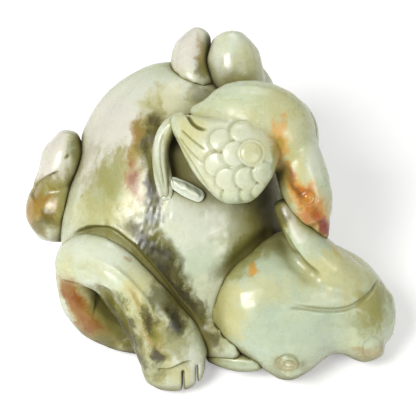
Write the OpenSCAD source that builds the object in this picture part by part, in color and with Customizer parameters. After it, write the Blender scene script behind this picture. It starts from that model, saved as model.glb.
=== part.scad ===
// Carved jade figurine: a beast lies on its back with its head thrown round to one side, and a
// bird sits on its belly and bends its neck down to the beast's jaw.
// Millimetres. The forms are laid out on the carving plane: x to the right, y up the plane and z
// out of it. The plane then leans back to the attitude in which the stone stands on its seat.
// The real figurine is one stone. Each carved form is a solid of its own here, and they meet
// face to face along the carved creases.

/* [Stone] */
// Width of the stone from the near hind foot to the muzzle
stone_w = 80; // [64:1:100]
// Angle by which the carving plane leans back from upright
lean = 40; // [36:1:44]
// Depth ground off the underside of the trunk to make the flat seat
seat_grind = 2.5; // [2:0.25:4]
// Thickness of the trunk through the belly
trunk_depth = 34; // [28:1:41]

/* [Beast] */
// Thickness of the head from cheek to cheek
head_depth = 22; // [18:1:27]
// Thickness of the near foreleg
foreleg_depth = 10; // [8:0.5:12]
// Thickness of the hind feet
hind_depth = 14; // [11:0.5:17]
// Width of the cut between two toes
toe_gap = 0.6; // [0.5:0.1:0.8]
// Length of the eye
eye_l = 5; // [4:0.25:6]
// Width of the tail
tail_w = 4.4; // [3.6:0.2:5.4]

/* [Bird] */
// Thickness of the bird's body
bird_depth = 16; // [13:0.5:20]
// Thickness of the near wing
wing_depth = 10; // [8:0.5:12]
// Thickness of the bird's neck
neck_depth = 10; // [8:0.5:12]

/* [Smoothness] */
// Facets round each large form
sides = 20; // [16:4:24]
// Rings from one station of a form to the next
steps = 2; // [1:1:3]

/* [Hidden] */
small_sides = 14;
k = stone_w / 80;                       // the stations below are those of a stone 80 wide
belly_lift = trunk_depth / 2 - 17 * k;  // what lies on the belly rises and falls with it
origin_y = -1.3 * k;                    // puts the origin under the middle of the stone

near_toe_cut_x = [-5.6, -2.7];          // places of the two cuts across the near paw
near_toe_l = 12;                        // reach of those cuts up the paw, from below its tip
far_toe_cut_x = [22.4, 25];             // the same on the far paw
far_toe_l = 14;
near_toe_cut_from = [-40, -10];         // where those cuts start: up the plane, then out of it
far_toe_cut_from = [-20, -24];
near_toe_cut_depth = 30;                // how far the cuts go through a paw
far_toe_cut_depth = 20;
far_paw_turn = 12;                      // the far paw points this far outward

celadon = "#CBD3BC";
pale = "#DCD9CF";
olive = "#A9A872";
golden = "#B39A5C";
russet = "#B5733F";

// Curves and forms

// A point of the smooth curve from b to c, with a before them and d after them
function blend(a, b, c, d, t) =
    0.5 * (2 * b + (c - a) * t + (2 * a - 5 * b + 4 * c - d) * t * t
    + (3 * b - a - 3 * c + d) * t * t * t);

// The stations of a form with rings added between them
function rings(s) =
    let (n = len(s) - 1)
    [
        for (i = [0 : n - 1], j = [0 : steps - 1])
            blend(s[max(i - 1, 0)], s[i], s[i + 1], s[min(i + 2, n)], j / steps),
        s[n]
    ];

function place(s) = [s[0], s[1], s[2]];
function unit(v) = v / norm(v);

// The rings that round off an end: the last ring shrinks as it moves out over the length of the cap
function cap(s, way, l) =
    [for (a = [30, 60]) concat(place(s) + way * l * sin(a), [s[3], s[4]] * cos(a))];

// One ring of points round a station [x, y, z, half-width, half-depth]
function ring_points(s, way, n) =
    let (across = unit(cross([0, 0, 1], way)), out = cross(way, across))
    [for (i = [0 : n - 1]) place(s) + s[3] * cos(i * 360 / n) * across + s[4] * sin(i * 360 / n) * out];

// A closed smooth form through its stations. caps holds the length of the round end at each end.
// The rings stand square to the line of stations, or all to one direction where it is given.
module form(stations, caps, n = sides, square_to = undef) {
    body = rings(stations * k);
    last = len(body) - 1;
    start = is_undef(square_to) ? unit(place(body[0]) - place(body[1])) : -square_to;
    end = is_undef(square_to) ? unit(place(body[last]) - place(body[last - 1])) : square_to;
    head_cap = cap(body[0], start, caps[0] * k);
    tail_cap = cap(body[last], end, caps[1] * k);
    line = concat([head_cap[1], head_cap[0]], body, tail_cap);
    m = len(line) - 1;
    function way(i) = unit(place(line[min(i + 1, m)]) - place(line[max(i - 1, 0)]));
    points = [
        for (i = [0 : m]) each ring_points(line[i], is_undef(square_to) ? way(i) : square_to, n),
        place(body[0]) + start * caps[0] * k,
        place(body[last]) + end * caps[1] * k
    ];
    first_tip = len(points) - 2;
    last_tip = len(points) - 1;
    faces = [
        for (i = [0 : m - 1], j = [0 : n - 1])
            let (a = i * n + j, b = i * n + (j + 1) % n)
            each [[a, a + n, b], [b, a + n, b + n]],
        for (j = [0 : n - 1]) [first_tip, j, (j + 1) % n],
        for (j = [0 : n - 1]) [last_tip, m * n + (j + 1) % n, m * n + j]
    ];
    polyhedron(points, faces);
}

// Stations whose half-depths are scaled in real millimetres, and whose centres move out by z
function deep(stations, ratio, z = 0) =
    [for (s = stations) [s[0], s[1], s[2] + z / k, s[3], s[4] * ratio / k]];

// The beast's forms on the carving plane

// The trunk runs down the plane from the rump to the chest
trunk_line = deep([
    [-7.6, 31, -9, 5, 4],
    [-7, 29.4, -8.8, 8.9, 6.8],
    [-6.3, 26.4, -8.5, 13.3, 10],
    [-6.2, 20, -8, 18.1, 14],
    [-6.5, 12, -7.3, 21.2, 16.3],
    [-7.4, 2, -7, 23.9, 17],
    [-8, -7, -6.6, 24.4, 16.6],
    [-6.5, -14, -6.2, 21.5, 15.5],
    [-5, -20, -5.5, 17.5, 13],
    [-4, -26, -4.5, 12.5, 9.5],
    [-3.5, -30, -3.5, 7, 5]
], trunk_depth / 34);

module trunk_form() form(trunk_line, [1.2, 2.2], sides + 4, [0, -1, 0]);

// How far the trunk's lowest point lies below the middle of the leaning plane
trunk_drop = -min([for (s = rings(trunk_line * k)) s[1] * sin(lean) + (s[2] - s[4]) * cos(lean)]);

// Stands the carving plane up and grinds everything below the seat away
module stand() {
    difference() {
        translate([0, origin_y, trunk_drop - seat_grind]) rotate([lean, 0, 0]) children();
        translate([-stone_w, -stone_w, -stone_w]) cube([2 * stone_w, 2 * stone_w, stone_w]);
    }
}

// The head lies across the foot of the plane, from the crown by the chest to the muzzle
module head_form()
    form(deep([
        [1.4, -20.6, 2.6, 5.4, 4],
        [3.6, -20.4, 2.4, 8.2, 7],
        [7, -20.4, 2, 10.5, 9.5],
        [11, -20.6, 1.5, 13.2, 10.8],
        [15, -20.8, 1.1, 15.6, 11],
        [18.5, -20.7, 1, 15.9, 11],
        [22.5, -20.3, 0.8, 14, 10.6],
        [26.2, -19.4, 0.5, 12, 9.8],
        [29.4, -20.2, 0.2, 11.3, 9],
        [33, -22, 0, 11.1, 8.2],
        [36, -23.1, 0, 9.2, 6.8],
        [38.4, -23, 0, 5.6, 4.4]
    ], head_depth / 22), [1.8, 1.8], sides + 4, [1, 0, 0]);

// What lies above the mouth and right of the throat is the jaw
module jaw_side() {
    mouth = [[19.5, -22.6], [24, -22.6], [28, -22.5], [31, -21.8], [34, -20], [36, -17.5], [38, -14]];
    throat = [[13, 4], [15, -3], [18.4, -10.3], [22, -15], [24.5, -19], [23, -21.6]];
    translate([0, 0, -stone_w / 2]) linear_extrude(stone_w)
        polygon(concat(throat, mouth, [[48, -8], [48, 6]]) * k);
}

// The raised edge of the jaw, from under the bird's beak down to the corner of the mouth
module throat_form()
    form(deep([
        [16.2, 0.2, 7.6, 3, 3.4],
        [18.2, -4, 7.8, 3.6, 3.8],
        [20.8, -8.2, 7.4, 4.4, 4.6],
        [24.6, -12.4, 6.2, 5, 5.4],
        [28.8, -15.6, 3.4, 5.2, 5.4],
        [33, -17.2, 0.6, 4.6, 5]
    ], head_depth / 22), [1.8, 2.4], small_sides + 2);

module muzzle_pad_form()
    form(deep([
        [34.2, -30.6, 0.4, 2.4, 4.6],
        [36, -29.4, 0.4, 2.6, 4.8]
    ], head_depth / 22), [1.4, 1.4], small_sides);

module near_eye_form()
    form([
        [17.4 - eye_l * 0.28 / k, -32.9, 7.8, 1.9, 1.7],
        [17.4, -33.1, 8, 2.4, 2.2],
        [17.4 + eye_l * 0.28 / k, -32.9, 7.8, 1.9, 1.7]
    ], [1.1, 1.1], small_sides);

module near_ear_form()
    form([
        [1, -31.6, 0.5, 1.7, 2],
        [3.4, -32, 1, 2.2, 2.6],
        [7, -32.7, 1.8, 2.3, 2.8],
        [10.4, -32.8, 2.6, 1.9, 2.6]
    ], [1.4, 1.6], small_sides);

module neck_form()
    form([
        [-2.5, -25, -1, 6, 7],
        [2, -26.5, -0.5, 6, 7],
        [7, -27.5, 0, 6, 7]
    ], [2, 2], small_sides);

// The near foreleg lies over the trunk: the upper arm runs back under it, behind a deep pocket
module near_upper_arm_form()
    form([
        [-28.2, -10.5, -2.5, 4.8, 5.5],
        [-27.6, -14.8, -3.6, 5.6, 6],
        [-26, -19, -4.6, 6.4, 6.2],
        [-22.9, -22.6, -5, 6.6, 6],
        [-18.9, -25.2, -4.6, 5.8, 5.6],
        [-14.6, -26.8, -3.6, 5, 5.4],
        [-10.5, -27.6, -2.6, 4.2, 5]
    ], [3, 2], small_sides + 2);

module near_forearm_form()
    form(deep([
        [-29.6, -12.4, 0.4, 3.4, 4.4],
        [-28.2, -11.4, 2.2, 4.9, 4.8],
        [-25.4, -11, 4.4, 5.7, 5],
        [-21.6, -12, 6.2, 5.8, 5],
        [-18.2, -14.6, 7.2, 5.7, 5],
        [-15.1, -18.5, 7.4, 5.9, 5],
        [-12, -22.8, 6.8, 6.4, 5],
        [-9.2, -27, 5.6, 7.1, 5],
        [-7.7, -30.2, 4.4, 7.3, 4.8],
        [-7.1, -32.4, 3.6, 7.1, 4.4]
    ], foreleg_depth / 10, belly_lift), [1.8, 1.6], sides);

// The paw ends in three toes, parted by two cuts
module near_paw_form()
    form(deep([
        [-7.5, -30.6, 4, 7, 4.4],
        [-7.4, -34.6, 3, 6.7, 4]
    ], foreleg_depth / 10, belly_lift), [1, 4.5], small_sides + 4);

module near_toe_cuts()
    for (x = near_toe_cut_x)
        translate([x, near_toe_cut_from[0], near_toe_cut_from[1]] * k)
            cube([toe_gap, near_toe_l * k, near_toe_cut_depth * k]);

// The far foreleg is folded behind the head
module far_upper_arm_form()
    form([
        [10, -2, -9, 5, 6],
        [14.5, 1, -10.5, 5, 5.6],
        [18, 2, -11.5, 4.4, 5]
    ], [2, 2.6], small_sides);

module far_forearm_form()
    form([
        [18.4, 0, -12.4, 4, 4.6],
        [20, -5, -14, 4, 4.4],
        [22, -9.4, -15.2, 4, 4]
    ], [2.4, 1.6], small_sides);

module far_paw_form()
    form([
        [22.4, -10, -15.2, 4, 3.8],
        [24, -14, -15.2, 3.9, 3.4]
    ], [1, 2.4], small_sides + 2);

module far_toe_cuts()
    for (x = far_toe_cut_x)
        translate([x, far_toe_cut_from[0], far_toe_cut_from[1]] * k) rotate([0, 0, far_paw_turn])
            cube([toe_gap, far_toe_l * k, far_toe_cut_depth * k]);

// Each hind leg is folded up beside the trunk, with its hock against its foot
module near_hind_hock_form()
    form(deep([
        [-30.6, 15.4, -6.5, 2.6, 4.6],
        [-31, 12.6, -6.5, 4.6, 5.8],
        [-31.8, 9.2, -6.8, 5.1, 6.2],
        [-33.6, 6.4, -7.2, 4.4, 5.8],
        [-35.8, 4.6, -7.8, 3, 4.6]
    ], hind_depth / 14), [1.6, 2], small_sides + 2);

module near_hind_foot_form()
    form(deep([
        [-30.8, 5.6, -9.5, 5, 6],
        [-32.4, 2, -9.2, 7.1, 7],
        [-32.7, -1.6, -9, 7.5, 7],
        [-32.4, -5, -9, 5.6, 5.6]
    ], hind_depth / 14), [1.6, 2.4], small_sides + 2);

module far_hind_thigh_form()
    form(deep([
        [8.4, 30, -9, 3.6, 5],
        [9.6, 27, -9, 4.6, 6.4],
        [10.2, 23, -8.6, 5, 7],
        [9.6, 18, -8, 4.6, 7]
    ], hind_depth / 14), [1.6, 2], small_sides);

module far_hind_hock_form()
    form(deep([
        [4.6, 35.8, -3, 4.2, 4.6],
        [5.3, 33, -2.6, 5.7, 5.8],
        [6, 29.6, -2.8, 5.9, 6],
        [6.8, 25.6, -3.6, 5.6, 6]
    ], hind_depth / 14), [2.3, 2], small_sides + 2);

module far_hind_foot_form()
    form(deep([
        [-1.8, 37.6, -6.5, 2.6, 3.6],
        [-3.2, 34.6, -6, 4.2, 4.6],
        [-3.7, 31.4, -4.8, 4.4, 4.8],
        [-2.9, 28, -3.6, 4.4, 4.6],
        [-1.1, 25.6, -3.2, 4, 4.2]
    ], hind_depth / 14), [1.6, 1.8], small_sides);

// The tail lies as a low band along the rump
module tail_form()
    form([
        [-11, 30.2, -7.2, tail_w / 2.6 / k, 2.8],
        [-17, 27, -6.6, tail_w / 2.1 / k, 3.2],
        [-21.4, 23, -6, tail_w / 2 / k, 3.4],
        [-24.2, 18.4, -5.6, tail_w / 2 / k, 3.4],
        [-26, 13.8, -5.4, tail_w / 2.1 / k, 3],
        [-27.8, 8.8, -5, tail_w / 3 / k, 2.4]
    ], [1.6, 1.8], small_sides);

// The bird's forms

module bird_body_form()
    form(deep([
        [-2.8, 18.6, 9, 3, 3.4],
        [0.2, 18.4, 9, 4.8, 5],
        [4, 18.8, 9, 7.1, 7],
        [8.4, 18.5, 9, 8.3, 8],
        [12.6, 16.8, 9, 8.9, 7.8],
        [15.6, 13.6, 8.6, 8, 7.2],
        [17, 10.2, 8, 5.4, 6]
    ], bird_depth / 16, belly_lift), [1.4, 1.6], sides);

module bird_near_wing_form()
    form(deep([
        [-6.8, 17.7, 12.4, 1.6, 1.5],
        [-4.6, 16.5, 13.2, 3, 2.5],
        [-1.4, 14.2, 14.4, 5.2, 3.6],
        [2.2, 11.8, 15.2, 7.4, 4.6],
        [5.8, 9.9, 15.4, 8.8, 5],
        [8.6, 8.4, 15, 8.6, 5],
        [10.6, 7.2, 14.4, 7.2, 4.4]
    ], wing_depth / 10, belly_lift), [1, 2.4], sides);

module bird_far_wing_form()
    form(deep([
        [15.4, 21.8, 6, 2.6, 4],
        [18, 19.8, 5.4, 3.4, 5],
        [20, 16.4, 4.8, 3.4, 5],
        [20.8, 12.6, 4.4, 2.6, 4]
    ], k, belly_lift), [1.6, 1.8], small_sides);

// The tail feathers end in a raised band that curves down onto the belly
module bird_tail_form()
    form(deep([
        [-5.2, 18.6, 11.6, 1.4, 2.2],
        [-7.8, 17, 11.2, 1.7, 2.6],
        [-9.4, 14.2, 10.8, 1.7, 2.8],
        [-9.9, 10.8, 10.2, 1.7, 2.8],
        [-9.4, 6.8, 9.6, 1.8, 2.6],
        [-8.8, 3, 9, 1.7, 2.2]
    ], k, belly_lift), [1, 1.6], small_sides - 2);

module bird_foot_form()
    form(deep([
        [-7.4, 5.4, 9.4, 1.2, 1.6],
        [-4.8, 4, 9.8, 1.5, 2],
        [-2, 2.6, 10, 1.3, 2]
    ], k, belly_lift), [0.9, 1.2], small_sides - 4);

module bird_neck_form()
    form(deep([
        [15.6, 18.4, 9, 4.6, 4.6],
        [17.4, 14, 9.4, 5, 5],
        [19, 9.4, 9.6, 5.2, 5],
        [20.3, 4.6, 9.4, 5.3, 5]
    ], neck_depth / 10, belly_lift), [1.8, 2], small_sides + 2);

module bird_head_form()
    form(deep([
        [20.2, 4.8, 9.4, 5.2, 5],
        [21.4, 1, 9, 4.9, 4.9],
        [22.5, -1.8, 8.6, 3.7, 4.2]
    ], neck_depth / 10, belly_lift), [2, 1.4], small_sides + 2);

module bird_beak_form()
    form(deep([
        [22.3, -1.2, 8.8, 3.3, 3.4],
        [23.3, -3.8, 8.2, 2.3, 2.6],
        [24, -5.6, 7.8, 1.3, 1.8]
    ], neck_depth / 10, belly_lift), [1, 1.2], small_sides - 2);

// The pieces: each form stops where a form in front of it, or under it, begins

module trunk() color(celadon) stand() trunk_form();

module neck() color(olive) stand() difference() {
    neck_form();
    trunk_form();
    head_form();
    near_forearm_form();
}

module head() color(celadon) stand() difference() {
    head_form();
    trunk_form();
    jaw_side();
}

module lower_jaw() color(olive) stand() difference() {
    union() {
        intersection() {
            head_form();
            jaw_side();
        }
        intersection() {
            throat_form();
            jaw_side();
        }
    }
    trunk_form();
}

module muzzle_pad() color(olive) stand() difference() {
    muzzle_pad_form();
    head_form();
}

module near_eye() color(olive) stand() difference() {
    near_eye_form();
    head_form();
}

module near_ear() color(celadon) stand() difference() {
    near_ear_form();
    head_form();
    neck_form();
    trunk_form();
}

module near_upper_arm() color(russet) stand() difference() {
    near_upper_arm_form();
    trunk_form();
    near_forearm_form();
}

module near_forearm() color(celadon) stand() difference() {
    near_forearm_form();
    trunk_form();
}

module near_toes() color(olive) stand() difference() {
    near_paw_form();
    near_forearm_form();
    near_upper_arm_form();
    neck_form();
    near_toe_cuts();
    trunk_form();
}

module far_upper_arm() color(olive) stand() difference() {
    far_upper_arm_form();
    trunk_form();
    head_form();
}

module far_forearm() color(olive) stand() difference() {
    far_forearm_form();
    far_upper_arm_form();
    trunk_form();
    head_form();
}

module far_toes() color(olive) stand() difference() {
    far_paw_form();
    far_forearm_form();
    far_toe_cuts();
    head_form();
    trunk_form();
}

module near_hind_hock() color(pale) stand() difference() {
    near_hind_hock_form();
    trunk_form();
}

module near_hind_foot() color(golden) stand() difference() {
    near_hind_foot_form();
    near_hind_hock_form();
    trunk_form();
}

module far_hind_thigh() color(celadon) stand() difference() {
    far_hind_thigh_form();
    far_hind_hock_form();
    trunk_form();
    bird_body_form();
}

module far_hind_hock() color(celadon) stand() difference() {
    far_hind_hock_form();
    trunk_form();
    bird_body_form();
}

module far_hind_foot() color(pale) stand() difference() {
    far_hind_foot_form();
    far_hind_hock_form();
    trunk_form();
    bird_body_form();
}

module tail() color(pale) stand() difference() {
    tail_form();
    trunk_form();
    near_hind_hock_form();
}

module bird_body() color(celadon) stand() difference() {
    bird_body_form();
    trunk_form();
    bird_near_wing_form();
    bird_neck_form();
}

module bird_near_wing() color(olive) stand() difference() {
    bird_near_wing_form();
    trunk_form();
}

module bird_far_wing() color(olive) stand() difference() {
    bird_far_wing_form();
    trunk_form();
    bird_body_form();
    bird_neck_form();
}

module bird_tail() color(celadon) stand() difference() {
    bird_tail_form();
    trunk_form();
    bird_body_form();
    bird_near_wing_form();
}

module bird_foot() color(pale) stand() difference() {
    bird_foot_form();
    trunk_form();
    bird_tail_form();
    bird_near_wing_form();
}

module bird_neck() color(celadon) stand() difference() {
    bird_neck_form();
    bird_near_wing_form();
    bird_head_form();
    trunk_form();
}

module bird_head() color(russet) stand() difference() {
    bird_head_form();
    throat_form();
    trunk_form();
    head_form();
}

module bird_beak() color(russet) stand() difference() {
    bird_beak_form();
    bird_head_form();
    throat_form();
    head_form();
}

trunk();
neck();
head();
lower_jaw();
muzzle_pad();
near_eye();
near_ear();
near_upper_arm();
near_forearm();
near_toes();
far_upper_arm();
far_forearm();
far_toes();
near_hind_hock();
near_hind_foot();
far_hind_thigh();
far_hind_hock();
far_hind_foot();
tail();
bird_body();
bird_near_wing();
bird_far_wing();
bird_tail();
bird_foot();
bird_neck();
bird_head();
bird_beak();
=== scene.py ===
import math
import bpy
import numpy as np
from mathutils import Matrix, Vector


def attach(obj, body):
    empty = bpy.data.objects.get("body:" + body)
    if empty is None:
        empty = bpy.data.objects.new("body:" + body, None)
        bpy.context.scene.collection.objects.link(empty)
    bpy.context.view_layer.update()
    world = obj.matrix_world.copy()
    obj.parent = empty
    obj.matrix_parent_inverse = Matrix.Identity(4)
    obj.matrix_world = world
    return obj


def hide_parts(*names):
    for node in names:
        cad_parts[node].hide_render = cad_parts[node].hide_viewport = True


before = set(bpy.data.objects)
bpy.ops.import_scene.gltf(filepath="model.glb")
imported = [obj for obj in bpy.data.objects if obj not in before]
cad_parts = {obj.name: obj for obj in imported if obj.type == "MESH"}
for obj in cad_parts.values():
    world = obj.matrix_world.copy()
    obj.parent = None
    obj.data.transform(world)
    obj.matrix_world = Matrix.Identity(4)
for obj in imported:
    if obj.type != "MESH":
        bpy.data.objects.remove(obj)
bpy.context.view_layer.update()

# The carving plane leans back from upright. Places on it are millimetres: right, up and out.
leanBack = math.radians(40)
planeOut = Vector((0, -math.sin(leanBack), math.cos(leanBack)))
planeAxes = np.array(((1, 0, 0), (0, math.cos(leanBack), -math.sin(leanBack)),
                      (0, math.sin(leanBack), math.cos(leanBack))))


def meshPoints(mesh):
    points = np.empty(len(mesh.vertices) * 3)
    mesh.vertices.foreach_get("co", points)
    return points.reshape(-1, 3)


def formBox(nodes):
    # the lowest and highest plane coordinates of some CAD forms
    points = np.concatenate([meshPoints(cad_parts[n].data) for n in nodes]) @ planeAxes * 1000
    return points.min(0), points.max(0)


def onForm(nodes, spots):
    # spots are shares of the forms' width and height on the plane, from the lower left
    low, high = formBox(nodes)
    return low[:2] + np.asarray(spots, float) * (high[:2] - low[:2])


def smoothLine(points, perSpan=8):
    # a smooth curve through a few points
    points = np.asarray(points, float)
    padded = np.concatenate((2 * points[:1] - points[1:2], points, 2 * points[-1:] - points[-2:-1]))
    made = []
    for i in range(1, len(padded) - 2):
        a, b, c, d = padded[i - 1:i + 3]
        for t in np.linspace(0, 1, perSpan, endpoint=False):
            made.append(0.5 * (2 * b + (c - a) * t + (2 * a - 5 * b + 4 * c - d) * t ** 2
                               + (3 * b - a - 3 * c + d) * t ** 3))
    return np.array(made + [points[-1]])


def eased(values):
    values = np.clip(values, 0, 1)
    return values * values * (3 - 2 * values)


def awayFrom(line, spots):
    # each spot's distance from a line, the share of the line at the nearest place, and its side
    best = np.full(len(spots), 1e9)
    share = np.zeros(len(spots))
    side = np.ones(len(spots))
    lengths = np.linalg.norm(np.diff(line, axis=0), axis=1)
    run = 0.0
    for start, end, length in zip(line[:-1], line[1:], lengths):
        along = np.clip((spots - start) @ (end - start) / length ** 2, 0, 1)
        offset = spots - start - along[:, None] * (end - start)
        distance = np.linalg.norm(offset, axis=1)
        nearer = distance < best
        best[nearer] = distance[nearer]
        share[nearer] = (run + along[nearer] * length) / lengths.sum()
        cross = (end - start)[0] * offset[:, 1] - (end - start)[1] * offset[:, 0]
        side[nearer] = np.sign(cross[nearer])
        run += length
    return best, share, side


def lineOn(nodes, spots):
    # a smooth line through places given as shares of the forms' box
    return smoothLine(onForm(nodes, spots))


def fades(share, fade):
    # 1 along a line, easing to 0 at its two ends
    return eased(share / fade[0]) * eased((1 - share) / fade[1])


def grooveDepth(spots, nodes, line, width, depth, fade=(0.1, 0.1), shift=(0, 0)):
    # a round groove along a line on some forms, or a ridge where the depth is negative
    away, share, side = awayFrom(lineOn(nodes, line) + shift, spots)
    return depth * np.exp(-(away / width) ** 2) * fades(share, fade)


def stepDepth(spots, nodes, line, reach, depth, fade=(0.1, 0.1), sharp=0.25):
    # lowers the right-hand side of a line, deepest at the line, and leaves the other side
    away, share, side = awayFrom(lineOn(nodes, line), spots)
    lowered = eased(0.5 - side * away / sharp / 2)
    return depth * np.exp(-(away / reach) ** 2) * lowered * fades(share, fade)


def ovalReach(spots, centre, radii, turn=0):
    # 1 on an oval's edge, 0 at its centre
    offset = spots - centre
    c, s = math.cos(math.radians(turn)), math.sin(math.radians(turn))
    return np.hypot((offset[:, 0] * c + offset[:, 1] * s) / radii[0],
                    (offset[:, 1] * c - offset[:, 0] * s) / radii[1])


def ringDepth(spots, nodes, at, radii, width, depth):
    # a round groove along an oval
    reach = ovalReach(spots, onForm(nodes, at), radii)
    return depth * np.exp(-((reach - 1) * min(radii) / width) ** 2)


def bowlDepth(spots, nodes, at, radii, depth=1, turn=0):
    # a soft hollow, deepest at its centre
    return depth * np.exp(-ovalReach(spots, onForm(nodes, at), radii, turn) ** 2)


def roughness(spots, size, seed, waves=14, calm=4):
    # smooth made-up unevenness, mostly between -1 and 1, in lumps of about one size, the same on each run
    made = np.zeros(len(spots))
    turner = np.random.default_rng(seed)
    for wave in range(waves):
        way = turner.normal(size=spots.shape[1])
        way *= 2 * math.pi / size / np.linalg.norm(way) * turner.uniform(0.6, 1.6)
        made += np.sin(spots @ way + turner.uniform(0, 2 * math.pi))
    return made / calm


def roughOut(name, part):
    # one closed block from some CAD forms, in cells of one size, with its facets evened out
    points, faces = [], []
    count = 0
    for node in part["nodes"]:
        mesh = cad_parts[node].data
        points.append(meshPoints(mesh))
        faces += [[v + count for v in p.vertices] for p in mesh.polygons]
        count += len(mesh.vertices)
    joined = bpy.data.meshes.new(name)
    joined.from_pydata(np.concatenate(points).tolist(), [], faces)
    piece = bpy.data.objects.new(name, joined)
    bpy.context.scene.collection.objects.link(piece)
    cells = piece.modifiers.new("cells", "REMESH")
    cells.mode = "VOXEL"
    cells.voxel_size = part["grain"] / 1000
    made = bpy.data.meshes.new_from_object(piece.evaluated_get(bpy.context.evaluated_depsgraph_get()))
    piece.modifiers.clear()
    piece.data = made
    made.name = name
    bpy.data.meshes.remove(joined)
    made.shade_smooth()
    evenOut(piece, part["evenRounds"])
    print(f"{name}: roughed out, {len(made.polygons)} faces")
    return piece


def meshEdges(mesh):
    edges = np.empty(len(mesh.edges) * 2, int)
    mesh.edges.foreach_get("vertices", edges)
    edges = edges.reshape(-1, 2).T
    return edges, np.bincount(edges.ravel(), minlength=len(mesh.vertices))


def meshNormals(mesh):
    normals = np.empty(len(mesh.vertices) * 3)
    mesh.vertex_normals.foreach_get("vector", normals)
    return normals.reshape(-1, 3)


def spread(values, edges, number, rounds, share):
    # averages values over neighbouring points, round after round
    a, b = edges
    count = len(values)
    for turn in range(rounds):
        sums = [np.bincount(a, values[b, i], count) + np.bincount(b, values[a, i], count)
                for i in range(values.shape[1])]
        values = values + (np.stack([s / number for s in sums], axis=1) - values) * share
    return values


def setPoints(piece, points):
    # the ground seat stays flat
    points[:, 2] = np.maximum(points[:, 2], 0)
    piece.data.vertices.foreach_set("co", points.ravel())
    piece.data.update()


# evening out: a sharp bend moves little, and the creases between the forms are filled a little
smoothing = {"lookRounds": 8, "lookShare": 0.7, "sharpBend": 0.86, "bendRange": 0.1, "least": 0.04,
             "blendRounds": 4, "share": 0.6, "lastRounds": 3, "lastShare": 0.5,
             "seatWithin": 0.03, "fill": 0.12}


def evenOut(piece, rounds):
    # takes out facets and keeps the size
    points = meshPoints(piece.data)
    normals = meshNormals(piece.data)
    edges, number = meshEdges(piece.data)
    around = spread(normals, edges, number, smoothing["lookRounds"], smoothing["lookShare"])
    around /= np.linalg.norm(around, axis=1)[:, None]
    flat = ((normals * around).sum(1) - smoothing["sharpBend"]) / smoothing["bendRange"]
    even = np.clip(flat, smoothing["least"], 1)[:, None]
    blended = spread(even, edges, number, smoothing["blendRounds"], smoothing["lookShare"])
    even = np.minimum(even, blended) * smoothing["share"]
    softened = spread(points, edges, number, rounds, even)
    softened += spread(points - softened, edges, number, rounds, even)
    softened = spread(softened, edges, number, smoothing["lastRounds"], smoothing["lastShare"])
    softened[points[:, 2] * 1000 < smoothing["seatWithin"], 2] = 0
    setPoints(piece, softened)
    cut(piece, np.full(len(points), -smoothing["fill"]))


def melt(piece, where, rounds):
    # lets two forms run into each other where there is no carved line between them
    edges, number = meshEdges(piece.data)
    share = smoothing["share"] * where[:, None]
    setPoints(piece, spread(meshPoints(piece.data), edges, number, rounds, share))


# hand work: grinding by hand leaves a slight unevenness, in broad and fine lumps, in millimetres
handWork = {"broadSize": 9, "broadHeight": 0.06, "fineSize": 4, "fineHeight": 0.024, "fineSeed": 50}


def handWorked(piece, seed):
    spots = meshPoints(piece.data) * 1000
    broad = handWork["broadHeight"] * roughness(spots, handWork["broadSize"], seed)
    fine = handWork["fineHeight"] * roughness(spots, handWork["fineSize"], seed + handWork["fineSeed"])
    cut(piece, broad + fine)


def planeSpots(piece):
    return (meshPoints(piece.data) @ planeAxes * 1000)[:, :2]


def facing(piece, steepness=3):
    # 1 where the surface faces out of the carving plane, fading to 0 where it turns away
    return eased(meshNormals(piece.data) @ np.array(planeOut) * steepness)


def cut(piece, depth):
    # moves each point in by its depth in millimetres, or out where that is negative
    setPoints(piece, meshPoints(piece.data) - meshNormals(piece.data) * depth[:, None] / 1000)


def carve(piece, depth):
    # cuts where the surface faces out, and notes how deep, for the painted shade in carved lines
    depth = depth * facing(piece)
    cut(piece, depth)
    noted = piece.data.attributes
    cutShade = noted.get("cutShade") or noted.new("cutShade", "FLOAT", "POINT")
    cutShade.data.foreach_set("value", 1 - np.exp(-np.maximum(depth, 0) / stone["cutShadeDepth"]))


def stand(piece, part):
    nodes, slotName = part["nodes"], part["slot"]
    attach(piece, "root")
    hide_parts(*nodes)
    piece.data.materials.clear()
    piece.data.materials.append(part["material"])


def linear(hexColour, alpha=1.0):
    parts = [int(hexColour[i:i + 2], 16) / 255 for i in (1, 3, 5)]
    return [c / 12.92 if c <= 0.04045 else ((c + 0.055) / 1.055) ** 2.4 for c in parts] + [alpha]


def addNode(tree, kind, settings=None, inputs=None):
    # one node with its settings, and its inputs as values or as sockets to link from. Inputs are named, or
    # numbered: a mix has 0 for the share and 6, 7 for the colours, a map range 1 to 4 for from and to
    node = tree.nodes.new(kind)
    for key, value in (settings or {}).items():
        setattr(node, key, value)
    for key, value in (inputs or {}).items():
        if isinstance(value, bpy.types.NodeSocket):
            tree.links.new(value, node.inputs[key])
        else:
            node.inputs[key].default_value = value
    return node


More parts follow.
